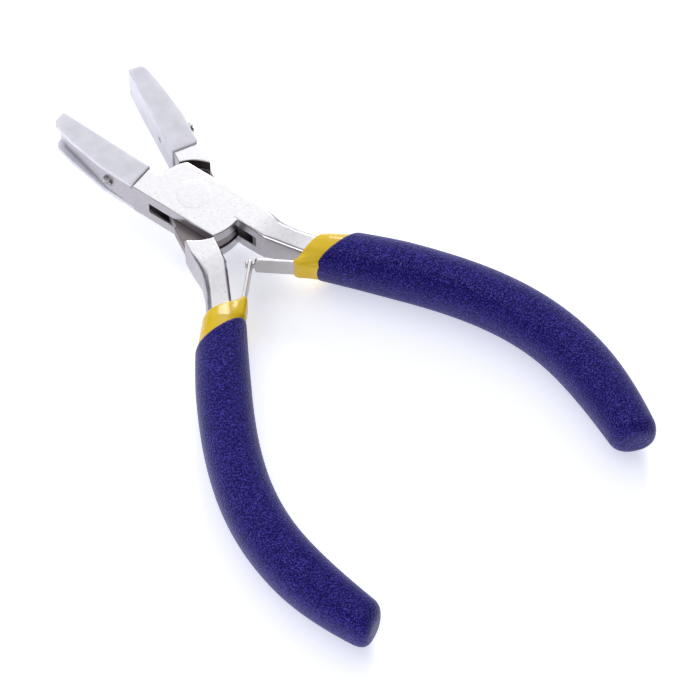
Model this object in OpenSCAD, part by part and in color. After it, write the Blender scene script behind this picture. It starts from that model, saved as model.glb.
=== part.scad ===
// Box-joint pliers with nylon jaw pads, a double-leaf return spring and double-dipped handles.
// The origin is on the pivot axis at the underside of the box joint: +Y to the jaws, +X right, +Z up.
// Each half is drawn as it lies when the pliers are closed, then turned by the opening angle.

/* [Stance] */
// Angle that each half stands open at rest, in degrees
open_half = 14; // [13:0.5:14.5]
// Gap left between the two pads when the pliers are fully closed
closed_gap = 0.3; // [0.2:0.05:0.6]

/* [Box joint] */
// Thickness of the box joint
box_h = 8.4; // [8:0.1:9]
// Height of the slot that holds the tongue
slot_h = 3.0; // [2.6:0.1:3.2]
// Clearance above and below the tongue
tongue_play = 0.05; // [0.03:0.01:0.1]
// Radius of the front ends of the slotted half's two plates
front_r = 7.9; // [7.6:0.1:8]
// Radius of the rear ends of the slotted half's two plates
rear_r = 10.8; // [10.6:0.1:10.9]
// Gap between the plates and the shoulders of the tongue half
shoulder_gap = 0.25; // [0.2:0.05:0.4]
// Radius of the pivot rivet's shank
pivot_r = 2.5; // [2:0.1:2.8]
// Radius of the pivot rivet's flared ends
pivot_flare_r = 3.6; // [3.3:0.1:4]
// Depth of the pivot rivet's flares
pivot_flare_h = 1.2; // [0.8:0.1:1.6]

/* [Jaws] */
// Distance from the pivot axis to the back of the pads
pad_y0 = 10.95; // [10.9:0.05:11.2]
// Length of the pads
pad_len = 22.2; // [20:0.2:23]
// Height of the pads across the thickness of the pliers
pad_h = 9.2; // [9:0.1:9.6]
// Thickness of the pad's web, which grips the work
web_t = 1.8; // [1.5:0.1:2.2]
// Thickness of the pad's two flanges
flange_t = 1.4; // [1.2:0.1:1.5]
// Distance from the pivot axis to the pad screws
screw_y = 17.6; // [16.5:0.1:18.5]
// Radius of the pad screws' threads
screw_r = 0.7; // [0.6:0.05:0.8]
// Radius of the pad screws' heads
screw_head_r = 1.15; // [1:0.05:1.3]
// Height of the pad screws' heads
screw_head_h = 1.6; // [1.2:0.1:1.8]
// How far the right pad screw stands proud of its seat
right_screw_proud = 0.8; // [0:0.1:1]

/* [Handles] */
// Width of the hidden tang at the collar
tang_w0 = 5.2; // [5:0.1:5.4]
// Width of the hidden tang at its end
tang_w1 = 4.0; // [3.6:0.1:4.4]
// Width of the outer grip at its widest
grip_w = 11.0; // [10.8:0.1:11.4]
// Thickness of the outer grip at its widest
grip_h = 12.0; // [11.8:0.1:12.4]
// Thickness of the outer grip's skin over the under-dip
grip_skin = 1.0; // [0.9:0.1:1.1]

/* [Spring] */
// Thickness of the spring leaves
leaf_t = 0.75; // [0.6:0.05:0.8]
// Width of the spring leaves
leaf_w = 4.3; // [4:0.1:4.5]
// Length of the right leaf's full-width part, outside the collar
leaf_len = 7.9; // [7.6:0.1:7.9]
// Length of the left leaf outside the collar
notched_leaf_len = 9; // [8.8:0.1:9.1]
// Length of the narrow tongue at the tip of the right leaf
leaf_tongue_len = 1.9; // [1.5:0.1:2]
// Width of that tongue
leaf_tongue_w = 1.6; // [1.4:0.1:1.8]
// Width of the notch at the tip of the left leaf
leaf_notch_w = 2.1; // [2.0:0.05:2.3]
// Radius of the rivets that hold the leaves to the tangs
leaf_rivet_r = 1.0; // [0.8:0.1:1.1]

/* [Hidden] */
$fn = 48;
mid_z = box_h / 2;
grip_x = closed_gap / 2;
tongue_h = slot_h - 2 * tongue_play;
// Radii of the tongue's lobes, which turn inside the slot's two end walls
front_wall = 8.9;
rear_wall = 10.9;
lobe_gap = 0.4;
// Directions that the slot's end walls face, in degrees
front_wall_a = 125;
rear_wall_a = -47;
// Inner and outer edges of the handle's neck, from the box joint to the collar
neck_in = [[0.45, -10], [0.45, -17.2], [3.1, -25.4]];
neck_out = [[5.8, -10], [6.1, -17.3], [7, -21.2], [8.6, -25.2]];
// Half thickness of a steel half along its length
steel_profile = [[-97, 2], [-40, 2.5], [-26, 2.75], [-14, box_h / 2], [pad_y0, box_h / 2]];
// Jaw core inside a pad: its height, its outer edge and the end of its inner edge
core_h = pad_h - 2 * flange_t;
core_out = [[5.95, pad_y0 - 1], [5.95, pad_y0], [5.6, 18], [4.2, 25], [2.9, 31]];
core_tip_y = 31.6;
// Outer edge of a pad, from its back to its tip
pad_out = [[5.4, pad_y0], [5.9, pad_y0 + 0.5], [5.9, 19], [4.7, 28], [3.75, 32.3], [2.9, pad_y0 + pad_len]];
// Pad screw: distance of its seat from the jaws' middle plane, its tip's depth in the pad's web, its crown
screw_seat = 5.4;
screw_seat_play = 0.35;
screw_tip = 0.35;
screw_crown_r = 1.75;
// Centre line of a handle, as a Bezier curve from the collar to the tip
handle = [[5.6, -25.5], [21.6, -62], [22.9, -76], [7.8, -103.6]];
// Where the tang ends along that line, and its blunt start under the neck
tang_end = 0.9;
tang_start = [[4.5, -24], [7, -23.5]];
tang_steps = 14;
// Where the free part of a leaf starts, the way it leans, and where the left leaf's notch starts along it
leaf_root = [0.35, -25];
leaf_a = 123;
notch_start = 8.05;
// Leaf rivet: its place along the handle, its flat head's width beyond its shank, and the head's height
leaf_rivet_at = 0.13;
leaf_rivet_rim = 0.5;
leaf_rivet_head = 0.6;
// Clearance between parts that turn or slide on each other
play = 0.05;
// Reach of the cutting shapes, beyond the end of every part
far = 60;

function unit(v) = v / norm(v);
function left_of(d) = [-d[1], d[0]];
function bez(c, t) = pow(1 - t, 3) * c[0] + 3 * pow(1 - t, 2) * t * c[1]
    + 3 * (1 - t) * t * t * c[2] + pow(t, 3) * c[3];
function bez_dir(c, t) = unit((1 - t) * (1 - t) * (c[1] - c[0])
    + 2 * (1 - t) * t * (c[2] - c[1]) + t * t * (c[3] - c[2]));
// Point beside the handle's centre line: off is positive on the outer side
function beside(t, off) = bez(handle, t) + left_of(bez_dir(handle, t)) * off;
function dirs(p) = [for (i = [0 : len(p) - 1])
    unit(unit(p[min(i + 1, len(p) - 1)] - p[min(i, len(p) - 2)])
    + unit(p[max(i, 1)] - p[max(i - 1, 0)]))];
// Outline of a strip of thickness t along the points p
function strip(p, t) = let (d = dirs(p)) concat(
    [for (i = [0 : len(p) - 1]) p[i] + left_of(d[i]) * t / 2],
    [for (i = [len(p) - 1 : -1 : 0]) p[i] - left_of(d[i]) * t / 2]);
function signed_pow(v, e) = sign(v) * pow(abs(v), e);

module slot_side() rotate(open_half) children();
module tongue_side() rotate(-open_half) children();
module flip() mirror([1, 0, 0]) children();

// ---- steel halves ----

// Space between the profile's top and bottom faces
module side_profile() {
    top = [for (p = steel_profile) [p[0], mid_z + p[1]]];
    bottom = [for (i = [len(steel_profile) - 1 : -1 : 0])
        [steel_profile[i][0], mid_z - steel_profile[i][1]]];
    core = [[pad_y0, mid_z + core_h / 2], [far, mid_z + core_h / 2],
        [far, mid_z - core_h / 2], [pad_y0, mid_z - core_h / 2]];
    rotate([90, 0, 90])
        translate([0, 0, -far])
            linear_extrude(2 * far)
                polygon(concat(top, core, bottom));
}

// Each child outline as a slab of the box joint's thickness
module slabs() {
    for (i = [0 : $children - 1])
        linear_extrude(box_h) children(i);
}

// A right-hand handle's neck, between the box joint and the collar
module neck_outline() {
    polygon(concat(neck_in, [for (i = [len(neck_out) - 1 : -1 : 0]) neck_out[i]]));
}

// The same neck without the corner that would meet the slotted half when closed
module tongue_neck_outline() {
    difference() {
        neck_outline();
        circle(r = rear_r + shoulder_gap, $fn = 96);
        translate([0.95 - far, -17.2]) square([far, 20]);
    }
}

// A right-hand handle's tang, inside the dips
module tang_outline() {
    steps = [for (i = [0 : tang_steps]) i / tang_steps * tang_end];
    function half_w(t) = (tang_w0 + (tang_w1 - tang_w0) * t / tang_end) / 2;
    polygon(concat(
        [for (t = steps) beside(t, half_w(t))],
        [for (i = [tang_steps : -1 : 0]) beside(steps[i], -half_w(steps[i]))],
        tang_start));
}

// A right-hand jaw's steel core, inside the pad
module core_outline() {
    polygon(concat([[grip_x + web_t, pad_y0 - 1]], core_out, [[grip_x + web_t, core_tip_y]]));
}

// Outline of the slotted half's plates and jaw root
module plate_outline() {
    difference() {
        polygon([[-6, pad_y0], [-5.5, -12], [0.45, -12], [0.45, -10], [5.8, -10],
            [5.35, 9], [-0.65, 9], [-0.65, pad_y0]]);
        difference() {
            translate([-0.65, 0]) square([far, far]);
            circle(r = front_r, $fn = 96);
        }
        difference() {
            translate([0.45 - far, -far]) square([far, far]);
            circle(r = rear_r, $fn = 96);
        }
    }
}

// Room between the slot's two end walls
module slot_walls() {
    difference() {
        square(2 * far, center = true);
        rotate(front_wall_a) translate([front_wall, -far]) square(2 * far);
        rotate(rear_wall_a) translate([rear_wall, -far]) square(2 * far);
    }
}

// An outline raised to height h, halfway up the box joint
module centred_extrude(h) {
    translate([0, 0, mid_z - h / 2]) linear_extrude(h) children();
}

// Bore and seat of the pad screw in the right-hand jaw
module screw_bore() {
    translate([0, screw_y, mid_z]) rotate([0, 90, 0]) {
        cylinder(r = screw_r, h = far);
        translate([0, 0, screw_seat]) cylinder(r = screw_head_r + screw_seat_play, h = far);
    }
}

// Places a leaf rivet's parts across the right-hand tang, with +Z to the outer side
module leaf_rivet_frame() {
    d = bez_dir(handle, leaf_rivet_at);
    translate([bez(handle, leaf_rivet_at)[0], bez(handle, leaf_rivet_at)[1], mid_z])
        rotate([0, 0, atan2(d[1], d[0]) + 90])
            rotate([0, 90, 0])
                children();
}

module slot_half() {
    color("silver") slot_side() difference() {
        intersection() {
            slabs() {
                plate_outline();
                neck_outline();
                tang_outline();
                flip() core_outline();
            }
            side_profile();
        }
        centred_extrude(slot_h) slot_walls();
        pivot_shape();
        flip() screw_bore();
        leaf_rivet_frame() cylinder(r = leaf_rivet_r, h = 2 * tang_w0, center = true);
    }
}

// Root of the tongue half's jaw, in front of the plates
module jaw_root_outline() {
    difference() {
        polygon([[0.45, 5], [6.1, 5], [6.1, pad_y0], [0.45, pad_y0]]);
        circle(r = front_r + shoulder_gap, $fn = 96);
    }
}

// Root of the tongue half's handle, behind the plates
module handle_root_outline() {
    difference() {
        polygon([[-6.1, -8], [-6.1, -17.2], [-0.95, -17.2], [-0.95, -8]]);
        circle(r = rear_r + shoulder_gap, $fn = 96);
    }
}

// The flat tongue that turns in the slot
module tongue_plate() {
    intersection() {
        circle(r = front_wall - lobe_gap, $fn = 96);
        polygon([[-5.6, -0.8], [-1.5, 8.3], [-1.5, 12], [5.6, 12], [5.6, -1], [-5.6, -1]]);
    }
    intersection() {
        circle(r = rear_wall - lobe_gap, $fn = 96);
        translate([-5.6, -12]) square([11.2, 12]);
    }
    intersection() {
        circle(r = front_r + 2);
        translate([0.45, 0]) square([5.65, 9]);
    }
    translate([-6.1, -12]) square([5.15, 8]);
}

module tongue_half() {
    color("silver") tongue_side() difference() {
        union() {
            intersection() {
                slabs() {
                    jaw_root_outline();
                    handle_root_outline();
                    core_outline();
                    flip() tongue_neck_outline();
                    flip() tang_outline();
                }
                side_profile();
            }
            centred_extrude(tongue_h) tongue_plate();
        }
        translate([0, 0, -1]) cylinder(r = pivot_r + play, h = box_h + 2);
        screw_bore();
        flip() leaf_rivet_frame() cylinder(r = leaf_rivet_r, h = 2 * tang_w0, center = true);
    }
}

// ---- pivot ----

module pivot_shape() {
    rotate_extrude() polygon([[0, 0], [pivot_flare_r, 0], [pivot_r, pivot_flare_h],
        [pivot_r, box_h - pivot_flare_h], [pivot_flare_r, box_h], [0, box_h]]);
}

module pivot_rivet() {
    color("gainsboro") slot_side() pivot_shape();
}

// ---- pads and their screws, drawn for the right-hand jaw ----

module jaw_pad() {
    color([0.93, 0.94, 0.96]) difference() {
        centred_extrude(pad_h)
            polygon(concat([[grip_x, pad_y0]], pad_out, [[grip_x, pad_y0 + pad_len]]));
        centred_extrude(core_h)
            translate([grip_x + web_t, 0]) square([far, far]);
        translate([0, screw_y, mid_z]) rotate([0, 90, 0]) cylinder(r = screw_r, h = far);
    }
}

module left_jaw_pad() slot_side() flip() jaw_pad();
module right_jaw_pad() tongue_side() jaw_pad();

module pad_screw(proud) {
    tip = grip_x + screw_tip;
    color("dimgray") translate([0, screw_y, mid_z]) rotate([0, 90, 0]) {
        translate([0, 0, tip]) cylinder(r = screw_r, h = screw_seat + proud - tip);
        intersection() {
            translate([0, 0, screw_seat + proud]) cylinder(r = screw_head_r, h = screw_head_h);
            translate([0, 0, screw_seat + proud - 0.1]) sphere(r = screw_crown_r);
        }
    }
}

module left_pad_screw() slot_side() flip() pad_screw(0);
module right_pad_screw() tongue_side() pad_screw(right_screw_proud);

// ---- return spring, drawn for the right-hand handle ----

leaf_dir = [cos(leaf_a), sin(leaf_a)];
// The leaf's route from the end of its root to the collar
leaf_root_path = concat([for (t = [0.18, 0.13, 0.09, 0.055])
    beside(t, -(tang_w0 / 2 + play + leaf_t / 2))], [leaf_root]);

// A leaf that stands out of the collar by length
module leaf_strip(length, w) {
    centred_extrude(w)
        polygon(strip(concat(leaf_root_path, [leaf_root + length * leaf_dir]), leaf_t));
}

module leaf_hole() {
    leaf_rivet_frame() cylinder(r = leaf_rivet_r + play, h = 2 * tang_w0, center = true);
}

module right_spring_leaf() {
    color("lightgray") slot_side() difference() {
        union() {
            leaf_strip(leaf_len, leaf_w);
            leaf_strip(leaf_len + leaf_tongue_len, leaf_tongue_w);
        }
        leaf_hole();
    }
}

module left_spring_leaf() {
    color("lightgray") tongue_side() flip() difference() {
        leaf_strip(notched_leaf_len, leaf_w);
        leaf_hole();
        translate([leaf_root[0], leaf_root[1], mid_z])
            rotate(leaf_a)
                translate([notch_start, -2, -leaf_notch_w / 2]) cube([4, 4, leaf_notch_w]);
    }
}

module leaf_rivet() {
    color("gray") leaf_rivet_frame() {
        translate([0, 0, -tang_w0 / 2 - leaf_t - leaf_rivet_head])
            cylinder(r = leaf_rivet_r, h = tang_w0 + leaf_t + leaf_rivet_head);
        translate([0, 0, -tang_w0 / 2 - leaf_t - leaf_rivet_head - 2 * play])
            cylinder(r = leaf_rivet_r + leaf_rivet_rim, h = leaf_rivet_head);
    }
}

module right_spring_rivet() slot_side() leaf_rivet();
module left_spring_rivet() tongue_side() flip() leaf_rivet();

// ---- dipped handles, drawn for the right-hand handle ----

// Corners of a cover's rings
sides = 20;
// Power that squares a ring up from an ellipse
squareness = 0.85;
// How a cover narrows towards its rounded end, u from the collar (0) to the tip (1)
function fullness(u) = 1 - 0.16 * pow(max(0, (u - 0.72) / 0.28), 2) - 0.05 * max(0, 1 - u / 0.2);
// Slant of a cover's rings, which start further back on the outer side and square up by u = reach
function slant(front, reach, u) = front * pow(max(0, 1 - u / reach), 1.5);

// Ring of a cover at u: inner and outer half widths, half thickness, slope of the ring's plane
function ring(u, w_in, w_out, h, slope, scale) = [for (k = [0 : sides - 1]) let (
        a = 360 * k / sides,
        across = signed_pow(cos(a), squareness),
        up = signed_pow(sin(a), squareness),
        off = (across > 0 ? w_out : w_in) * across * scale,
        d = bez_dir(handle, u),
        p = bez(handle, u) + left_of(d) * off + d * slope * off)
    [p[0], p[1], mid_z + h * up * scale]];

// Solid through a list of rings
module loft(rings) {
    n = len(rings);
    polyhedron(
        points = [for (r = rings, p = r) p],
        faces = concat(
            [[for (k = [0 : sides - 1]) k]],
            [for (i = [0 : n - 2], k = [0 : sides - 1])
                let (a = i * sides + k, b = i * sides + (k + 1) % sides)
                [a, a + sides, b + sides, b]],
            [[for (k = [sides - 1 : -1 : 0]) (n - 1) * sides + k]]),
        convexity = 6);
}

// The under-dip's outer surface: wider on the inner side at the collar, where it wraps the leaf
module dip_surface() {
    half_w = grip_w / 2 - grip_skin;
    half_h = grip_h / 2 - grip_skin;
    function bulge(u) = 1.0 * pow(max(0, 1 - u / 0.1), 2);
    front = [[0.008, 0.93], [0.012, 0.99]];
    body = [for (i = [0 : 18]) [0.02 + 0.91 * i / 18, 1]];
    nose = [[0.945, 0.9], [0.955, 0.7]];
    loft([for (e = concat(front, body, nose)) let (u = e[0])
        ring(u, half_w * fullness(u) + bulge(u), half_w * fullness(u) + 0.3 * bulge(u),
            half_h * fullness(u), slant(0.8, 0.12, u), e[1])]);
}

// The grip's outer surface: slanted at the collar, rounded square at the tip.
// Each pair in front, body and nose is a place along the handle and the ring's scale there.
module grip_surface() {
    front = [[0.05, 0.93], [0.056, 0.99]];
    body = [for (i = [0 : 20]) [0.065 + 0.88 * i / 20, 1]];
    nose = [[0.965, 0.96], [0.985, 0.86], [0.997, 0.66]];
    loft([for (e = concat(front, body, nose)) let (u = e[0])
        ring(u, grip_w / 2 * fullness(u), grip_w / 2 * fullness(u),
            grip_h / 2 * fullness(u), slant(1.1, 0.2, u), e[1])]);
}

module under_dip() {
    color("gold") difference() {
        dip_surface();
        intersection() {
            slabs() {
                neck_outline();
                tang_outline();
            }
            side_profile();
        }
        centred_extrude(leaf_w + 2 * play)
            polygon(strip(concat(leaf_root_path, [leaf_root + leaf_dir]), leaf_t + 2 * play));
        leaf_rivet();
    }
}

module grip() {
    color("midnightblue") difference() {
        grip_surface();
        dip_surface();
    }
}

module right_under_dip() slot_side() under_dip();
module left_under_dip() tongue_side() flip() under_dip();
module right_grip() slot_side() grip();
module left_grip() tongue_side() flip() grip();

slot_half();
tongue_half();
pivot_rivet();
left_jaw_pad();
right_jaw_pad();
left_pad_screw();
right_pad_screw();
right_spring_leaf();
left_spring_leaf();
right_spring_rivet();
left_spring_rivet();
right_under_dip();
left_under_dip();
right_grip();
left_grip();
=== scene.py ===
"""Nylon-jaw pliers: box joint, leaf-spring return and double-dipped handles, lying open on a pale floor."""
import math

import bmesh
import bpy
import numpy as np
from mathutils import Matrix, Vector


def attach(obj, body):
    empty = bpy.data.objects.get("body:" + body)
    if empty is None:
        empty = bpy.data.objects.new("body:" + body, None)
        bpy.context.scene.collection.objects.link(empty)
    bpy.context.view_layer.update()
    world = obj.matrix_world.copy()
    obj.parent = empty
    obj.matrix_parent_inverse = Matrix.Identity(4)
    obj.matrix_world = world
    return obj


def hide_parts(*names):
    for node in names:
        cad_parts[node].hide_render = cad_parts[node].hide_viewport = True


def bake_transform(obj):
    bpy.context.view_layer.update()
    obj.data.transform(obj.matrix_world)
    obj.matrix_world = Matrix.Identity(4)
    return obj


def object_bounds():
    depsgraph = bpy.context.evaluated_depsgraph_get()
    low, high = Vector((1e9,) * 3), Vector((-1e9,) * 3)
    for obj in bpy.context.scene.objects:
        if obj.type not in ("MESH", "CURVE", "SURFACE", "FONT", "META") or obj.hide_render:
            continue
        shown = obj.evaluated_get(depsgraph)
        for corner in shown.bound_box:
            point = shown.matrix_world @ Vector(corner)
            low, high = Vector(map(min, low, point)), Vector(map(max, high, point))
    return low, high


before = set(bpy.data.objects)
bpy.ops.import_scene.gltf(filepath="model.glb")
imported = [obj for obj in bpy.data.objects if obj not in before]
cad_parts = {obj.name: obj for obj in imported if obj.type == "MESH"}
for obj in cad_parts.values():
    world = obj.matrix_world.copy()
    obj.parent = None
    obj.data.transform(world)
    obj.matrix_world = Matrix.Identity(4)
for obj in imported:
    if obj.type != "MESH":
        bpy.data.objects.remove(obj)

import openvdb
from mathutils import Matrix, Vector

CAD_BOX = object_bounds()
MM = 0.001

# ---- driving dimensions, in millimetres and degrees ----
OPEN_HALF = 14.0
BOX_HALF_H = 4.2
MID_Z = BOX_HALF_H
LEAF_T = 0.68
LEAF_W = 4.3
GRIP_W = 11.0
GRIP_H = 12.0
# Centre line of the right handle, closed, as a Bezier curve from the collar to the tip
HANDLE = [np.array(p, float) for p in ((5.6, -25.5), (21.6, -62), (22.9, -76), (7.8, -103.6))]
TANG_END = 0.9
# Jaw core, pad and pad screw
PAD_Y0 = 10.95
PAD_LEN = 22.2
PAD_H = 9.2
GRIP_X = 0.15
WEB_T = 1.8
FLANGE_T = 1.4
CORE_HALF = PAD_H / 2 - FLANGE_T
SCREW_Y = 17.6
SCREW_SEAT = 5.4
# Box joint: round cut-outs, the slot between the plates with its two end walls, and the bore
FRONT_R = 7.9
REAR_R = 10.8
SHOULDER_GAP = 0.25
SLOT_HALF_H = 1.5
FRONT_WALL = 8.9
REAR_WALL = 10.9
FRONT_WALL_A = 125
REAR_WALL_A = -47
LOBE_GAP = 0.4
TONGUE_HALF_H = 1.45
BORE_R = 2.55
# Sides of the halves across the joint: cut-outs, shoulders and widest places
FRONT_X = -0.65
REAR_X = 0.45
SHOULDER_X = 0.95
WIDEST_X = 6.1
NECK_Y = -17.2


# ---- camera ----
AZIMUTH = math.radians(-38.97)
ELEVATION = math.radians(58.04)
CAMERA_RIGHT = 31.18
CAMERA_DOWN = 28.88
CAMERA_AWAY = 900.0
LENS = 231.4
SENSOR = 36.0


def make_camera():
    right = Vector((math.cos(AZIMUTH), math.sin(AZIMUTH), 0))
    forward = Vector((
        -math.sin(AZIMUTH) * math.cos(ELEVATION),
        math.cos(AZIMUTH) * math.cos(ELEVATION),
        -math.sin(ELEVATION)))
    up = right.cross(forward)
    target = Vector((0, 0, MID_Z))
    place = target + CAMERA_RIGHT * right - CAMERA_DOWN * up - CAMERA_AWAY * forward
    data = bpy.data.cameras.new("camera")
    data.lens = LENS
    data.sensor_width = SENSOR
    data.clip_end = 10.0
    camera = bpy.data.objects.new("camera", data)
    turn = Matrix((right, up, -forward)).transposed().to_4x4()
    camera.matrix_world = Matrix.Translation(place * MM) @ turn
    bpy.context.collection.objects.link(camera)
    bpy.context.scene.camera = camera


make_camera()


# ---- materials ----
def new_material(name):
    m = bpy.data.materials.new(name)
    m.use_nodes = True
    tree = m.node_tree
    return m, tree.nodes, tree.links, tree.nodes["Principled BSDF"]


def coords(nodes, links, scale=(1, 1, 1), turn=0.0):
    """Object coordinates in millimetres, stretched by scale."""
    tex = nodes.new("ShaderNodeTexCoord")
    mapping = nodes.new("ShaderNodeMapping")
    mapping.inputs["Scale"].default_value = [s * 1000 for s in scale]
    mapping.inputs["Rotation"].default_value = (0, 0, math.radians(turn))
    links.new(tex.outputs["Object"], mapping.inputs["Vector"])
    return mapping.outputs["Vector"]


def noise_tex(nodes, links, vector, scale, detail=4.0, roughness=0.6):
    t = nodes.new("ShaderNodeTexNoise")
    t.inputs["Scale"].default_value = scale
    t.inputs["Detail"].default_value = detail
    t.inputs["Roughness"].default_value = roughness
    links.new(vector, t.inputs["Vector"])
    return t.outputs["Fac"]


def ramp(nodes, links, fac, stops):
    r = nodes.new("ShaderNodeValToRGB")
    while len(r.color_ramp.elements) < len(stops):
        r.color_ramp.elements.new(0.5)
    for e, (pos, colour) in zip(r.color_ramp.elements, stops):
        e.position = pos
        e.color = (*colour, 1) if len(colour) == 3 else colour
    links.new(fac, r.inputs["Fac"])
    return r.outputs["Color"]


def bump(nodes, links, height, strength, distance, normal=None):
    b = nodes.new("ShaderNodeBump")
    b.inputs["Strength"].default_value = strength
    b.inputs["Distance"].default_value = distance * MM
    links.new(height, b.inputs["Height"])
    if normal is not None:
        links.new(normal, b.inputs["Normal"])
    return b.outputs["Normal"]


def maths(nodes, links):
    """A function that adds a math node; each of its operands is a number or a socket."""
    def add(operation, a, b=None):
        n = nodes.new("ShaderNodeMath")
        n.operation = operation
        for socket, value in zip(n.inputs, (a, b)):
            if isinstance(value, (int, float)):
                socket.default_value = value
            elif value is not None:
                links.new(value, socket)
        return n.outputs["Value"]
    return add


def place_in_half(nodes, links, turn):
    """Coordinates of a half turned back to where it is drawn, and the distance from the pivot."""
    split = nodes.new("ShaderNodeSeparateXYZ")
    links.new(coords(nodes, links, (1, 1, 1), turn), split.inputs[0])
    x, y, z = split.outputs
    add = maths(nodes, links)
    r = add("SQRT", add("ADD", add("MULTIPLY", x, x), add("MULTIPLY", y, y)))
    return x, y, z, r


# How far the dark patches reach, oil stains and in the slot painted shade too: above the slot's wall, out
# from the pivot, across, and past a shoulder
SLOT_DARK_H = SLOT_HALF_H + 0.06
SLOT_DARK_R = 15.3
SLOT_DARK_X = 5.3
STAIN_REACH = 0.38
REAR_STAIN_Y = -1.0


def slot_oil_and_shade(nodes, links):
    """1 on the walls of the slot inside the slotted half, which are painted dark: oil, and painted shade in
    the recess.
    """
    x, y, z, r = place_in_half(nodes, links, -OPEN_HALF)
    add = maths(nodes, links)
    height = add("ABSOLUTE", add("SUBTRACT", z, MID_Z))
    inside = add("MULTIPLY", add("LESS_THAN", height, SLOT_DARK_H), add("LESS_THAN", r, SLOT_DARK_R))
    wall = add("LESS_THAN", add("ABSOLUTE", x), SLOT_DARK_X)
    return add("MULTIPLY", inside, wall)


def tongue_cavity(nodes, links):
    """1 on the tongue and on the shoulders that face the slotted half."""
    x, y, z, r = place_in_half(nodes, links, OPEN_HALF)
    add = maths(nodes, links)
    front = add("LESS_THAN", r, FRONT_R + STAIN_REACH)
    rear = add("MULTIPLY", add("LESS_THAN", r, REAR_R + STAIN_REACH), add("LESS_THAN", y, REAR_STAIN_Y))
    return add("MAXIMUM", front, rear)


def blend_colour(nodes, links, fac, a, b):
    mix = nodes.new("ShaderNodeMix")
    mix.data_type = "RGBA"
    links.new(fac, mix.inputs["Factor"])
    for socket, value in ((mix.inputs["A"], a), (mix.inputs["B"], b)):
        if isinstance(value, tuple):
            socket.default_value = (*value, 1)
        else:
            links.new(value, socket)
    return mix.outputs["Result"]


def scaled(colour, k):
    return tuple(k * c for c in colour)


def two_shades(nodes, links, fine, colour):
    """A colour that a noise varies from a little darker to a little lighter."""
    return ramp(nodes, links, fine, [(0.35, scaled(colour, 0.93)), (0.62, scaled(colour, 1.04))])


def ground_faces_and_side_shade(nodes, links):
    """1 on the flat top and bottom, 0 on the sides, which take the darker side colour: forged satin and
    painted shade.
    """
    texture = nodes.new("ShaderNodeTexCoord")
    facing = nodes.new("ShaderNodeSeparateXYZ")
    links.new(texture.outputs["Normal"], facing.inputs[0])
    flat = maths(nodes, links)("ABSOLUTE", facing.outputs["Z"])
    return ramp(nodes, links, flat, [(0.75, (0, 0, 0)), (0.985, (1, 1, 1))])


def pit_distance(nodes, links):
    """Distance from the middles of scattered small pits."""
    pits = nodes.new("ShaderNodeTexVoronoi")
    pits.inputs["Scale"].default_value = 0.9
    pits.inputs["Randomness"].default_value = 1.0
    links.new(coords(nodes, links), pits.inputs["Vector"])
    return pits.outputs["Distance"]


def steel_material(name, ground, forged_and_shaded, rough=(0.24, 0.4), grain_turn=0.0, cavity=None, oil_and_shade=(0, 0, 0)):
    """Steel whose flat top and bottom are ground bright, while its sides keep a greyer satin, darkened
    further by painted shade.
    """
    m, nodes, links, shader = new_material(name)
    shader.inputs["Metallic"].default_value = 1.0
    fine = noise_tex(nodes, links, coords(nodes, links), 1.3, 6, 0.7)
    shaded_satin = two_shades(nodes, links, fine, forged_and_shaded)
    bright = two_shades(nodes, links, fine, ground)
    # The sides' darker colour is partly a forged finish and partly painted shade.
    colour = blend_colour(nodes, links, ground_faces_and_side_shade(nodes, links), shaded_satin, bright)
    if cavity is not None:
        # Cavity colour: oil stains, and inside the slot painted shade as well.
        colour = blend_colour(nodes, links, cavity(nodes, links), colour, oil_and_shade)
    pits = pit_distance(nodes, links)
    pit_floor = ramp(nodes, links, pits, [(0.05, (1, 1, 1)), (0.11, (0, 0, 0))])
    colour = blend_colour(nodes, links, pit_floor, colour, scaled(forged_and_shaded, 0.45))
    links.new(colour, shader.inputs["Base Color"])
    lines = noise_tex(nodes, links, coords(nodes, links, (1, 0.12, 1), grain_turn), 6.0, 5, 0.65)
    rough_map = nodes.new("ShaderNodeMapRange")
    rough_map.inputs["To Min"].default_value = rough[0]
    rough_map.inputs["To Max"].default_value = rough[1]
    links.new(lines, rough_map.inputs["Value"])
    links.new(rough_map.outputs["Result"], shader.inputs["Roughness"])
    pit_depth = ramp(nodes, links, pits, [(0.06, (0, 0, 0)), (0.16, (1, 1, 1))])
    relief = bump(nodes, links, pit_depth, 0.3, 0.05)
    relief = bump(nodes, links, lines, 0.25, 0.02, relief)
    relief = bump(nodes, links, fine, 0.35, 0.05, relief)
    links.new(relief, shader.inputs["Normal"])
    return m


def nylon_material():
    m, nodes, links, shader = new_material("nylon")
    cloud = noise_tex(nodes, links, coords(nodes, links), 0.35, 4, 0.55)
    colour = ramp(nodes, links, cloud, [(0.3, (0.66, 0.655, 0.69)), (0.7, (0.76, 0.755, 0.79))])
    links.new(colour, shader.inputs["Base Color"])
    shader.inputs["Roughness"].default_value = 0.36
    shader.inputs["Specular IOR Level"].default_value = 0.35
    shader.inputs["Subsurface Weight"].default_value = 0.6
    shader.inputs["Subsurface Radius"].default_value = (1.0, 1.05, 1.2)
    shader.inputs["Subsurface Scale"].default_value = 1.4 * MM
    links.new(bump(nodes, links, cloud, 0.25, 0.08), shader.inputs["Normal"])
    return m


def yellow_material():
    m, nodes, links, shader = new_material("yellow_dip")
    cloud = noise_tex(nodes, links, coords(nodes, links), 0.25, 3, 0.5)
    colour = ramp(nodes, links, cloud, [(0.3, (0.66, 0.44, 0.004)), (0.7, (0.76, 0.52, 0.010))])
    links.new(colour, shader.inputs["Base Color"])
    shader.inputs["Roughness"].default_value = 0.3
    shader.inputs["Specular IOR Level"].default_value = 0.25
    shader.inputs["Coat Weight"].default_value = 0.2
    shader.inputs["Coat Roughness"].default_value = 0.12
    links.new(bump(nodes, links, cloud, 0.25, 0.15), shader.inputs["Normal"])
    return m


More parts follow.
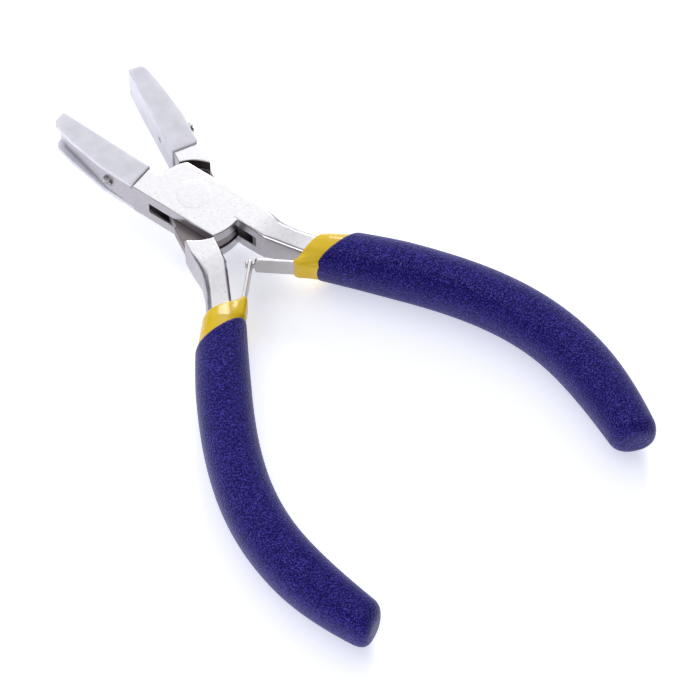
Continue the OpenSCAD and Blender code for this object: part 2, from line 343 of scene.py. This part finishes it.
def blue_material():
    m, nodes, links, shader = new_material("blue_dip")
    place = coords(nodes, links)
    cells = nodes.new("ShaderNodeTexVoronoi")
    cells.feature = "SMOOTH_F1"
    cells.inputs["Scale"].default_value = 2.6
    links.new(place, cells.inputs["Vector"])
    grain_and_glints = noise_tex(nodes, links, place, 3.6, 2, 0.6)
    # Grain tone with painted glints: the top of the ramp paints the highest bumps light lavender, as if they
    # caught the light.
    colour = ramp(nodes, links, grain_and_glints, [
        (0.36, (0.003, 0.001, 0.06)), (0.50, (0.007, 0.003, 0.12)), (0.64, (0.075, 0.062, 0.42))])
    links.new(colour, shader.inputs["Base Color"])
    shader.inputs["Roughness"].default_value = 0.3
    shader.inputs["IOR"].default_value = 1.36
    shader.inputs["Specular IOR Level"].default_value = 0.42
    shader.inputs["Specular Tint"].default_value = (0.30, 0.27, 1.0, 1)
    relief = bump(nodes, links, cells.outputs["Distance"], 1.0, 0.3)
    relief = bump(nodes, links, grain_and_glints, 1.0, 0.42, relief)
    links.new(relief, shader.inputs["Normal"])
    return m


GROUND = (0.66, 0.655, 0.67)
# Side colour: a greyer forged satin, darkened further as painted shade.
FORGED_AND_SHADED = (0.50, 0.475, 0.49)
# The slot's walls are painted dark: oil and painted shade.
SLOT_STEEL = steel_material("slot_steel", GROUND, FORGED_AND_SHADED, cavity=slot_oil_and_shade, oil_and_shade=(0.11, 0.10, 0.105))
TONGUE_STEEL = steel_material("tongue_steel", GROUND, FORGED_AND_SHADED, cavity=tongue_cavity, oil_and_shade=(0.24, 0.21, 0.21))
RIVET = steel_material("rivet_steel", GROUND, (0.62, 0.61, 0.62), (0.24, 0.38))
SPRING = steel_material("spring_steel", (0.60, 0.58, 0.58), (0.52, 0.50, 0.50), (0.25, 0.42), grain_turn=47)
SCREW = steel_material("screw_steel", (0.50, 0.49, 0.48), (0.42, 0.41, 0.40), (0.14, 0.26))
NYLON = nylon_material()
YELLOW = yellow_material()
BLUE = blue_material()


# ---- geometry helpers ----
def turned(p, degrees):
    c, s = math.cos(math.radians(degrees)), math.sin(math.radians(degrees))
    return np.array([p[0] * c - p[1] * s, p[0] * s + p[1] * c])


def at_rest(p, side):
    """Point of the closed right-hand drawing, where it lies at rest: side is 1 for right, -1 for left."""
    x, y = turned(p[:2], OPEN_HALF)
    return Vector((x * side, y, p[2])) * MM


def handle_at(u):
    """Point, direction and outward normal of the handle's centre line at u from 0 to 1."""
    a, b, c, d = HANDLE
    p = (1 - u) ** 3 * a + 3 * (1 - u) ** 2 * u * b + 3 * (1 - u) * u * u * c + u ** 3 * d
    t = (1 - u) ** 2 * (b - a) + 2 * (1 - u) * u * (c - b) + u * u * (d - c)
    t = t / np.linalg.norm(t)
    return p, t, np.array([-t[1], t[0]])


def mesh_object(name, verts, faces, material):
    mesh = bpy.data.meshes.new(name)
    mesh.from_pydata([tuple(v) for v in verts], [], faces)
    mesh.materials.append(material)
    bm = bmesh.new()
    bm.from_mesh(mesh)
    bmesh.ops.recalc_face_normals(bm, faces=bm.faces)
    bm.to_mesh(mesh)
    bm.free()
    for f in mesh.polygons:
        f.use_smooth = True
    obj = bpy.data.objects.new(name, mesh)
    bpy.context.collection.objects.link(obj)
    return obj


def loft(name, rings, material):
    """Closed skin through rings of equal length, with a fan at each end."""
    n = len(rings[0])
    verts = [v for r in rings for v in r]
    faces = []
    for i in range(len(rings) - 1):
        for k in range(n):
            a = i * n + k
            b = i * n + (k + 1) % n
            faces.append((a, a + n, b + n, b))
    for ring_start in (0, (len(rings) - 1) * n):
        centre = sum((Vector(verts[ring_start + k]) for k in range(n)), Vector()) / n
        verts.append(centre)
        last = len(verts) - 1
        faces += [(ring_start + k, ring_start + (k + 1) % n, last) for k in range(n)]
    return mesh_object(name, verts, faces, material)


def finish_piece(obj, body, slot_name, *nodes):
    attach(obj, body)
    if nodes:
        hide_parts(*nodes)


# ---- solids from distance fields, drawn in millimetres for the closed right-hand half ----
def smooth_min(a, b, k):
    h = np.clip(0.5 + 0.5 * (b - a) / k, 0, 1)
    return b * (1 - h) + a * h - k * h * (1 - h)


def smooth_max(a, b, k):
    return -smooth_min(-a, -b, k)


def outline(points, x, y):
    """Signed distance to a polygon, negative inside."""
    far = np.full(np.broadcast(x, y).shape, 1e9, np.float32)
    inside = np.zeros(far.shape, bool)
    for (ax, ay), (bx, by) in zip(points, points[1:] + points[:1]):
        ex, ey = bx - ax, by - ay
        t = np.clip(((x - ax) * ex + (y - ay) * ey) / (ex * ex + ey * ey), 0, 1)
        far = np.minimum(far, (x - ax - t * ex) ** 2 + (y - ay - t * ey) ** 2)
        if ay != by:
            crosses = ((ay > y) != (by > y)) & (x < (bx - ax) * (y - ay) / (by - ay) + ax)
            inside ^= crosses
    return np.where(inside, -1, 1) * np.sqrt(far)


def rounded_slab(flat, z, half, radius):
    """An outline raised to +-half, with rounded edges; half and radius may vary over the outline."""
    a, b = flat + radius, np.abs(z) - half + radius
    return np.minimum(np.maximum(a, b), 0) + np.hypot(np.maximum(a, 0), np.maximum(b, 0)) - radius


def field_object(name, field, low, high, voxel, material, side):
    """Skin of field(x, y, z) = 0, with z from the mid plane, placed where the half lies at rest."""
    axes = [np.arange(a - 2 * voxel, b + 3 * voxel, voxel, dtype=np.float32) for a, b in zip(low, high)]
    x, y, z = axes[0][:, None, None], axes[1][None, :, None], axes[2][None, None, :]
    values = np.broadcast_to(field(x, y, z), [len(a) for a in axes])
    limit = 3 * voxel
    values = np.ascontiguousarray(np.clip(values, -limit, limit), dtype=np.float32)
    grid = openvdb.FloatGrid(limit)
    grid.copyFromArray(values)
    points, triangles, quads = grid.convertToPolygons(0.0, 0.0)
    x0, y0, z0 = (a[0] for a in axes)
    verts = [at_rest((i * voxel + x0, j * voxel + y0, k * voxel + z0 + MID_Z), side)
             for i, j, k in points.tolist()]
    faces = [tuple(f) for f in quads.tolist() + triangles.tolist()]
    return mesh_object(name, verts, faces, material)


def steps(value, pairs):
    """Straight-line interpolation through (position, value) pairs."""
    return np.interp(value, [p[0] for p in pairs], [p[1] for p in pairs]).astype(np.float32)


def handle_coordinates(x, y):
    """Distance along a handle's centre line from the collar, and distance to its outer side."""
    us = np.linspace(0, 1, 160)
    line = [handle_at(u) for u in us]
    centre = np.array([p[0] for p in line])
    tangent = np.array([p[1] for p in line])
    along = np.append(0, np.cumsum(np.linalg.norm(np.diff(centre, axis=0), axis=1)))
    best = np.full(np.broadcast(x, y).shape, 1e9)
    s, off = np.zeros(best.shape), np.zeros(best.shape)
    for (cx, cy), (tx, ty), a in zip(centre, tangent, along):
        d = (x - cx) ** 2 + (y - cy) ** 2
        near = d < best
        best = np.where(near, d, best)
        s = np.where(near, a + (x - cx) * tx + (y - cy) * ty, s)
        off = np.where(near, -(x - cx) * ty + (y - cy) * tx, off)
    return s.astype(np.float32), off.astype(np.float32)


# ---- steel halves ----
# Edge radii of the plates and the core, and the width over which joined solids melt together
EDGE = 0.22
CORE_EDGE = 0.3
MELT = 0.15
SCREW_BORE_R = 0.7
SCREW_SEAT_R = 1.5
CORE = [(GRIP_X + WEB_T, PAD_Y0 - 1), (5.95, PAD_Y0 - 1), (5.95, PAD_Y0), (5.6, 18), (4.2, 25), (2.9, 31),
        (GRIP_X + WEB_T, 31.6)]
PLATE = [(-6, PAD_Y0), (-5.5, -12), (REAR_X, -12), (REAR_X, -10), (5.8, -10), (5.35, 9), (FRONT_X, 9),
         (FRONT_X, PAD_Y0)]
NECK = [(REAR_X, -7), (REAR_X, NECK_Y), (3.1, -25.4), (4.2, -28), (8.9, -28), (8.6, -25.2), (7, -21.2),
        (6.1, -17.3), (5.8, -10), (5.72, -7)]
LOBE = [(-5.6, -0.8), (-1.5, 8.3), (-1.5, 12), (5.6, 12), (5.6, -1), (-5.6, -1)]


def tang_polygon(count=24):
    """Outline of the tang, which narrows from 5.2 to 4 mm."""
    left, right = [], []
    for i in range(count + 1):
        u = TANG_END * i / count
        p, _, n = handle_at(u)
        half = (5.2 - 1.2 * u / TANG_END) / 2
        left.append(tuple(p + n * half))
        right.append(tuple(p - n * half))
    return left + right[::-1]


def box_between(x0, x1, y0, y1, x, y):
    """Signed distance to a rectangle."""
    return outline([(x0, y0), (x1, y0), (x1, y1), (x0, y1)], x, y)


def half_thickness(y):
    """The steel thins smoothly from the box joint to the collar, then slowly along the tang."""
    t = np.clip((-14 - y) / 13, 0, 1)
    return BOX_HALF_H - 1.5 * (3 * t * t - 2 * t * t * t) - 0.01 * np.clip(-27 - y, 0, 70)


def handle_field(x, y, z):
    """Neck and tang: inner edges crisp, outer edges of the neck well rounded."""
    flat = np.minimum(outline(NECK, x, y), outline(tang_polygon(), x, y))
    middle = steps(y, [(-25, 5.9), (-17, 3.2), (-12, 3.0)])
    outer = np.clip((x - middle) / 1.6, 0, 1)
    behind = np.clip((-13.0 - y) / 5.5, 0, 1)
    return rounded_slab(flat, z, half_thickness(y), 0.28 + (0.45 + 1.15 * outer) * behind)


def core_field(x, y, z):
    """The steel inside a pad, with the screw's bore and the seat of its head."""
    core = rounded_slab(outline(CORE, x, y), z, CORE_HALF, CORE_EDGE)
    hole = np.hypot(y - SCREW_Y, z)
    bore = np.maximum(hole - SCREW_BORE_R, 1.0 - x)
    seat = np.maximum(hole - SCREW_SEAT_R, SCREW_SEAT - x)
    return np.maximum(core, -np.minimum(bore, seat))


def end_wall(degrees, distance, x, y):
    a = math.radians(degrees)
    return math.cos(a) * x + math.sin(a) * y - distance


def slot_half_field(x, y, z):
    """Left jaw core, the two plates with the slot between them, and the right neck and tang."""
    r = np.hypot(x, y)
    front = smooth_max(np.maximum(FRONT_X - x, -y), FRONT_R - r, 2.0)
    rear = np.maximum(np.maximum(x - REAR_X, y), REAR_R - r)
    plate = smooth_max(np.maximum(outline(PLATE, x, y), -rear), -front, 0.25)
    body = np.minimum(rounded_slab(plate, z, BOX_HALF_H, EDGE), handle_field(x, y, z))
    body = smooth_min(body, core_field(-x, y, z), MELT)
    walls = np.maximum(end_wall(FRONT_WALL_A, FRONT_WALL, x, y), end_wall(REAR_WALL_A, REAR_WALL, x, y))
    slot = np.maximum(walls, np.abs(z) - SLOT_HALF_H)
    return smooth_max(body, -slot, 0.08)


def tongue_field(x, y, z):
    """The flat tongue: two round lobes and the links to the jaw and to the handle."""
    r = np.hypot(x, y)
    lobe = np.maximum(r - (FRONT_WALL - LOBE_GAP), outline(LOBE, x, y))
    back = np.maximum(r - (REAR_WALL - LOBE_GAP), box_between(-5.6, 5.6, -12, 0, x, y))
    links = np.minimum(box_between(REAR_X, WIDEST_X, 0, 8.6, x, y),
                       box_between(-WIDEST_X, -SHOULDER_X, -12, -4, x, y))
    return rounded_slab(np.minimum(np.minimum(lobe, back), links), z, TONGUE_HALF_H, 0.12)


def tongue_half_field(x, y, z):
    """Right jaw core and its root, the tongue, and the left shoulder, neck and tang."""
    r = np.hypot(x, y)
    root = np.maximum(box_between(REAR_X, WIDEST_X, 5, PAD_Y0, x, y), FRONT_R + SHOULDER_GAP - r)
    body = smooth_min(rounded_slab(root, z, BOX_HALF_H, EDGE), core_field(x, y, z), MELT)
    handle = np.maximum(handle_field(-x, y, z), REAR_R + SHOULDER_GAP - r)
    handle = np.maximum(handle, np.minimum(x + SHOULDER_X, NECK_Y - y))
    rear = np.maximum(box_between(-WIDEST_X, -SHOULDER_X, NECK_Y, -8, x, y), REAR_R + SHOULDER_GAP - r)
    rear_edge = 0.25 + 1.25 * np.clip((-3.6 - x) / 1.4, 0, 1) * np.clip((-12.5 - y) / 4, 0, 1)
    rear = rounded_slab(rear, z, half_thickness(y), rear_edge)
    body = np.minimum(body, np.minimum(rear, handle))
    body = smooth_min(body, tongue_field(x, y, z), 0.1)
    return np.maximum(body, BORE_R - r)


# ---- pads and screws ----
PAD = [(GRIP_X, PAD_Y0), (5.4, PAD_Y0), (5.9, PAD_Y0 + 0.5), (5.9, 19), (4.7, 28), (3.75, 32.3),
       (2.9, PAD_Y0 + PAD_LEN), (GRIP_X, PAD_Y0 + PAD_LEN)]
PAD_EDGE = 0.28
CHANNEL_PLAY = 0.05
PAD_HOLE_R = 0.72
SHANK_R = 0.66
THREAD_DEPTH = 0.04
THREAD_PITCH = 0.45
HEAD_R = 1.15
HEAD_H = 1.35
CROWN_R = 1.75
CROWN_DROP = 0.55
DRIVER_SLOT = 0.2
DRIVER_SLOT_FLOOR = 0.75


def pad_field(x, y, z):
    """A channel over the jaw core, with a small hole for the screw."""
    block = rounded_slab(outline(PAD, x, y), z, PAD_H / 2, PAD_EDGE)
    channel = np.maximum(GRIP_X + WEB_T - x, np.abs(z) - CORE_HALF - CHANNEL_PLAY)
    hole = np.hypot(y - SCREW_Y, z) - PAD_HOLE_R
    return np.maximum(smooth_max(block, -channel, 0.15), -hole)


def screw_field(proud):
    """A threaded shank and a slotted round head, whose seat stands proud of the jaw's seat."""
    seat = SCREW_SEAT + proud

    def field(x, y, z):
        y = y - SCREW_Y
        r = np.hypot(y, z)
        thread = THREAD_DEPTH * np.sin(2 * math.pi * x / THREAD_PITCH + np.arctan2(z, y))
        shank = np.maximum(r - SHANK_R - thread, np.maximum(GRIP_X + 0.4 - x, x - seat - 0.2))
        crown = np.hypot(r, x - seat + CROWN_DROP) - CROWN_R
        dome = np.maximum(crown, np.maximum(r - HEAD_R, seat - x))
        head = smooth_max(dome, x - seat - HEAD_H, 0.2)
        slot = np.maximum(np.abs(y * 0.8 + z * 0.6) - DRIVER_SLOT, seat + DRIVER_SLOT_FLOOR - x)
        return np.minimum(shank, smooth_max(head, -slot, 0.06))
    return field


# ---- dipped covers ----
DIP_POWER = 2.4
# Along the handle from the collar: outer and inner half widths and half height of the first dip
DIP_OUTER = [(-2, 3.1), (1.5, 3.5), (4, 3.9), (8, 4.6), (14, 4.75)]
DIP_INNER = [(-2, 3.7), (2, 4.6), (8, 4.8), (14, 4.8)]
DIP_HALF_H = [(-3, 3.2), (0, 3.7), (3, 4.45), (8, 5.1), (14, 5.2)]
DIP_END = 14.0
# The front edge slants by this much for each millimetre outwards; its cosine keeps distances true
DIP_SLANT = 0.5
DIP_SLANT_COS = 0.89
# The dips stay this far from the plane between the closed handles
DIP_CLEAR = 0.04
# The leaf's nub runs between these points
NUB_BACK = (2.9, -28.6)
NUB_TIP = (0.1, -24.7)
NUB_R = 1.0


def tube(s, off, z, inner, outer, half):
    """Slightly squared oval tube; the half widths may vary along s."""
    w = np.where(off > 0, outer, inner)
    across = np.power(np.abs(off) / w, DIP_POWER)
    up = np.power(np.abs(z) / half, DIP_POWER)
    size = np.power(across + up, 1 / DIP_POWER)
    return (size - 1) * np.minimum(w, half)


def from_segment(a, b, x, y):
    """Distance from the line between a and b."""
    ex, ey = b[0] - a[0], b[1] - a[1]
    t = np.clip(((x - a[0]) * ex + (y - a[1]) * ey) / (ex * ex + ey * ey), 0, 1)
    return np.hypot(x - a[0] - t * ex, y - a[1] - t * ey)


def leaf_nub(x, y, z):
    """Where the first dip runs up the spring leaf's root."""
    return rounded_slab(from_segment(NUB_BACK, NUB_TIP, x, y) - NUB_R, z, 2.75, 0.7)


def dip_field(x, y, z, front_s):
    """The collar of first dip, from its slanting front edge to where the second dip covers it."""
    s, off = handle_coordinates(x, y)
    body = tube(s, off, z, steps(s, DIP_INNER), steps(s, DIP_OUTER), steps(s, DIP_HALF_H))
    body = smooth_min(body, leaf_nub(x, y, z), 1.6)
    front = (front_s + DIP_SLANT * off - s) * DIP_SLANT_COS
    body = smooth_max(body, front, 0.75)
    body = smooth_max(body, DIP_CLEAR - x, 0.3)
    return np.maximum(body, s - DIP_END)


# ---- grips: lofted skins ----
SIDES = 96
GRIP_STEPS = 230
GRIP_LIP = 0.009
GRIP_LIP_STEPS = 8
GRIP_LAST = 0.957
GRIP_END = 0.032
GRIP_END_STEPS = 18


def fullness(u, taper=0.19):
    """Share of the grip's full width: less by taper at the tip, and by 0.11 at the mouth."""
    return 1 - taper * max(0, (u - 0.72) / 0.28) ** 2 - 0.11 * max(0, 1 - u / 0.17) ** 1.3


def grip_slant(u):
    """How far a ring leans: much at the mouth, where the edge slants, and a little at the tip."""
    return 1.05 * max(0, 1 - u / 0.2) ** 1.6 + 0.2 * max(0, (u - 0.86) / 0.13) ** 2


def squared(value):
    return math.copysign(abs(value) ** 0.85, value)


def cover_ring(u, widths, h, slope, scale, side):
    """A slightly squared oval ring round the handle; widths are its outer and inner half widths."""
    p, t, n = handle_at(u)
    ring = []
    for k in range(SIDES):
        a = 2 * math.pi * k / SIDES
        across, up = squared(math.cos(a)), squared(math.sin(a))
        off = widths[0 if across > 0 else 1] * across * scale
        q = p + n * off + t * slope * off
        ring.append(at_rest((q[0], q[1], MID_Z + h * up * scale), side))
    return ring


def grip_rings(start):
    """Places and scales of the rings: a rounded lip, an even run, and a rounded end."""
    rings = []
    for i in range(GRIP_LIP_STEPS + 1):
        a = math.pi / 2 * i / GRIP_LIP_STEPS
        rings.append((start + GRIP_LIP * (1 - math.cos(a)), 0.86 + 0.14 * math.sin(a)))
    first = start + 1.2 * GRIP_LIP
    rings += [(first + (GRIP_LAST - first) * i / GRIP_STEPS, 1.0) for i in range(GRIP_STEPS + 1)]
    for i in range(1, GRIP_END_STEPS + 1):
        a = math.pi / 2 * i / (GRIP_END_STEPS + 0.2)
        rings.append((GRIP_LAST + GRIP_END * math.sin(a), math.cos(a) ** 0.48))
    return rings


def make_grip(side, node, body, start, taper):
    skin = []
    for u, scale in grip_rings(start):
        widths = (GRIP_W / 2 * fullness(u, taper), GRIP_W / 2 * fullness(u))
        skin.append(cover_ring(u, widths, GRIP_H / 2 * fullness(u), grip_slant(u), scale, side))
    finish_piece(loft(node + "_skin", skin, BLUE), body, "blue_vinyl", node)


# ---- spring leaves ----
LEAF_ROOT = np.array([0.35, -25.0])
LEAF_A = math.radians(123)
LEAF_DIR = np.array([math.cos(LEAF_A), math.sin(LEAF_A)])
LEAF_HALF_W = LEAF_W / 2
LEAF_CORNER_R = 0.7
# The hidden root lies this far inwards of the handle's centre line, at these places along it
LEAF_ROOT_OFF = 3.025
LEAF_ROOT_US = (0.18, 0.13, 0.09, 0.055)
# Places this far behind the leaf's root and this far beyond it; bend_leaf works them out but does not bend
# the leaf
BEND_BACK = 1.7
BEND_AHEAD = 0.3


def leaf_route(length):
    """The strip's centre line: along the tang under the dip, then straight out of the collar."""
    hidden = []
    for u in LEAF_ROOT_US:
        p, _, n = handle_at(u)
        hidden.append(p - n * LEAF_ROOT_OFF)
    return hidden + [LEAF_ROOT, LEAF_ROOT + LEAF_DIR * length]


def leaf_face(along, z, length, tongue, notch):
    """The strip seen square on: its end has rounded corners, and a tongue or a notch."""
    high = np.abs(z)
    wide = np.maximum(high - LEAF_HALF_W, along - length)
    corner = np.hypot(np.maximum(along - length + LEAF_CORNER_R, 0),
                      np.maximum(high - LEAF_HALF_W + LEAF_CORNER_R, 0)) - LEAF_CORNER_R
    face = np.maximum(wide, corner)
    if tongue:
        face = np.minimum(face, np.maximum(high - tongue[1], along - length - tongue[0]))
    if notch:
        face = np.maximum(face, -np.maximum(high - notch[1], length - notch[0] - along))
    return face


def leaf_field(length, tongue, notch):
    """A strip of spring steel: tongue is (length, half width) beyond its end, notch (depth, half width)."""
    reach = length + (tongue[0] if tongue else 0)

    def field(x, y, z):
        route = leaf_route(reach)
        across = np.full(np.broadcast(x, y).shape, 1e9)
        for a, b in zip(route[:-1], route[1:]):
            across = np.minimum(across, from_segment(a, b, x, y))
        along = (x - LEAF_ROOT[0]) * LEAF_DIR[0] + (y - LEAF_ROOT[1]) * LEAF_DIR[1]
        face = np.maximum(leaf_face(along, z, length, tongue, notch), along - reach)
        return smooth_max(face, across - LEAF_T / 2, 0.12)
    return field


def bend_leaf(piece, side):
    root = np.array([*LEAF_ROOT, MID_Z])
    along = np.array([*LEAF_DIR, 0])
    start = at_rest(root - along * BEND_BACK, side)
    end = at_rest(root + along * BEND_AHEAD, side)
    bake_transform(piece)


# ---- build ----
VOXEL = 0.13


def mirrored(field):
    def flipped(x, y, z):
        return field(-x, y, z)
    return flipped


# A half's body, its handle's side, 1 for right or -1 for left, its steel, where its grip and its dip
# start along the handle, and how much its grip tapers on the outer side
HALVES = (
    ("slot_half", "right", 1, slot_half_field, SLOT_STEEL, 0.0425, -0.5, 0.2),
    ("tongue_half", "left", -1, mirrored(tongue_half_field), TONGUE_STEEL, 0.050, -0.1, 0.36),
)
STEEL_BOX = (-6.6, -98, -4.3), (21, 32.2, 4.3)
DIP_BOX = (-1.6, -41, -5.3), (19, -19.5, 5.3)
for body, handle, side, steel_field, steel_look, grip_start, dip_start, taper in HALVES:
    steel = field_object(body + "_steel", steel_field, *STEEL_BOX, VOXEL, steel_look, side)
    finish_piece(steel, body, "steel", body)
    make_grip(side, handle + "_grip", body, grip_start, taper)

    def covered(x, y, z, front_s=dip_start):
        return dip_field(x, y, z, front_s)

    dip = field_object(handle + "_dip_skin", covered, *DIP_BOX, VOXEL, YELLOW, side)
    finish_piece(dip, body, "yellow_vinyl", handle + "_under_dip")


def jaw_object(name, field, low, high, voxel, material, jaw_side):
    """A right-hand jaw piece: the left jaw is its mirror image and belongs to the right handle's half."""
    lo, hi = (-high[0], low[1], low[2]), (-low[0], high[1], high[2])
    return field_object(name, mirrored(field), lo, hi, voxel, material, -jaw_side)


PAD_BOX = (0, 10.7, -4.8), (6.1, 33.4, 4.8)
SCREW_BOX = (0.4, SCREW_Y - 1.3, -1.3), (8.2, SCREW_Y + 1.3, 1.3)
for jaw, jaw_side, body, proud in (("left", -1, "slot_half", 0.0), ("right", 1, "tongue_half", 1.1)):
    pad = jaw_object(jaw + "_pad_skin", pad_field, *PAD_BOX, VOXEL * 0.8, NYLON, jaw_side)
    finish_piece(pad, body, "nylon", jaw + "_jaw_pad")
    screw = jaw_object(jaw + "_screw_skin", screw_field(proud), *SCREW_BOX, VOXEL * 0.5, SCREW, jaw_side)
    finish_piece(screw, body, "screw_steel", jaw + "_pad_screw")

# A leaf's side, its half's body and its own, its free length, and its tongue or notch
LEAVES = (
    ("right", 1, "slot_half", "right_spring", 7.9, (1.9, 0.8), None),
    ("left", -1, "tongue_half", "left_spring", 9.0, None, (0.95, 1.05)),
)
LEAF_BOX = (-6.2, -41, -2.2), (13, -15.8, 2.2)
for word, side, half_body, leaf_body, length, tongue, notch in LEAVES:
    strip = leaf_field(length, tongue, notch)
    leaf = field_object(word + "_leaf_skin", strip, *LEAF_BOX, VOXEL * 0.7, SPRING, side)
    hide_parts(word + "_spring_leaf")
    bend_leaf(leaf, side)


# ---- pivot rivet: peened and ground almost flush, so that only a faint ring shows ----
# Radius and height above the mid plane, from the middle of the head to the shank
RIVET_PROFILE = [(0.6, 4.225), (1.6, 4.224), (2.6, 4.22), (3.2, 4.214), (3.45, 4.206), (3.56, 4.19),
                 (3.6, 4.15), (3.55, 3.7), (3.1, 3.2), (2.5, 3.0)]


def make_pivot_rivet():
    profile = RIVET_PROFILE + [(r, -z) for r, z in reversed(RIVET_PROFILE)]
    around = [2 * math.pi * k / SIDES for k in range(SIDES)]
    rings = [[Vector((r * math.cos(a), r * math.sin(a), MID_Z + z)) * MM for a in around] for r, z in profile]
    rivet = loft("pivot_rivet_skin", rings, RIVET)
    finish_piece(rivet, "slot_half", "rivet_steel", "pivot_rivet")


make_pivot_rivet()


# ---- carried-over CAD nodes: the spring rivets, hidden under the dips ----
for node in ("right_spring_rivet", "left_spring_rivet"):
    rivet_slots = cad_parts[node].data.materials
    rivet_slots.clear()
    rivet_slots.append(RIVET)


# ---- studio ----
FLOOR_HALF = 3.0
LIT_PLACE = (0, -0.03, 0)


def make_floor():
    """A plain white floor that glows a little, so that shadows on it stay pale."""
    low = CAD_BOX[0][2]
    corners = [(-1, -1), (1, -1), (1, 1), (-1, 1)]
    mesh = bpy.data.meshes.new("floor")
    mesh.from_pydata([(x * FLOOR_HALF, y * FLOOR_HALF, low) for x, y in corners], [], [(0, 1, 2, 3)])
    m, nodes, links, shader = new_material("floor")
    shader.inputs["Base Color"].default_value = (0.90, 0.905, 0.92, 1)
    shader.inputs["Roughness"].default_value = 0.75
    shader.inputs["Emission Color"].default_value = (0.90, 0.92, 1.0, 1)
    shader.inputs["Emission Strength"].default_value = 0.5
    mesh.materials.append(m)
    floor = bpy.data.objects.new("floor", mesh)
    bpy.context.collection.objects.link(floor)


def area_light(name, place, size, power, colour=(1, 1, 1)):
    """A round soft light that looks at the middle of the pliers."""
    data = bpy.data.lights.new(name, "AREA")
    data.shape = "DISK"
    data.size = size
    data.energy = power
    data.color = colour
    lamp = bpy.data.objects.new(name, data)
    lamp.location = place
    lamp.rotation_euler = (Vector(LIT_PLACE) - Vector(place)).to_track_quat("-Z", "Y").to_euler()
    bpy.context.collection.objects.link(lamp)


def make_world():
    """A white tent, brightest overhead and towards +Y, and darker towards the horizon."""
    world = bpy.data.worlds.new("studio")
    bpy.context.scene.world = world
    world.use_nodes = True
    nodes, links = world.node_tree.nodes, world.node_tree.links
    tex = nodes.new("ShaderNodeTexCoord")
    axis = nodes.new("ShaderNodeVectorMath")
    axis.operation = "DOT_PRODUCT"
    axis.inputs[1].default_value = (0.12, 0.45, 0.885)
    links.new(tex.outputs["Generated"], axis.inputs[0])
    sky = ramp(nodes, links, axis.outputs["Value"], [
        (0.0, (0.05, 0.05, 0.07)), (0.45, (0.13, 0.13, 0.17)), (0.78, (0.38, 0.38, 0.44)),
        (0.91, (1.0, 1.0, 1.02))])
    back = nodes["Background"]
    links.new(sky, back.inputs["Color"])
    back.inputs["Strength"].default_value = 1.2
    bpy.context.scene.view_settings.view_transform = "Standard"


make_floor()
make_world()
area_light("key", (0.62, 0.60, 0.42), 0.4, 6.2)
area_light("fill", (-0.66, -0.30, 0.3), 0.45, 2.8, (0.96, 0.97, 1.0))
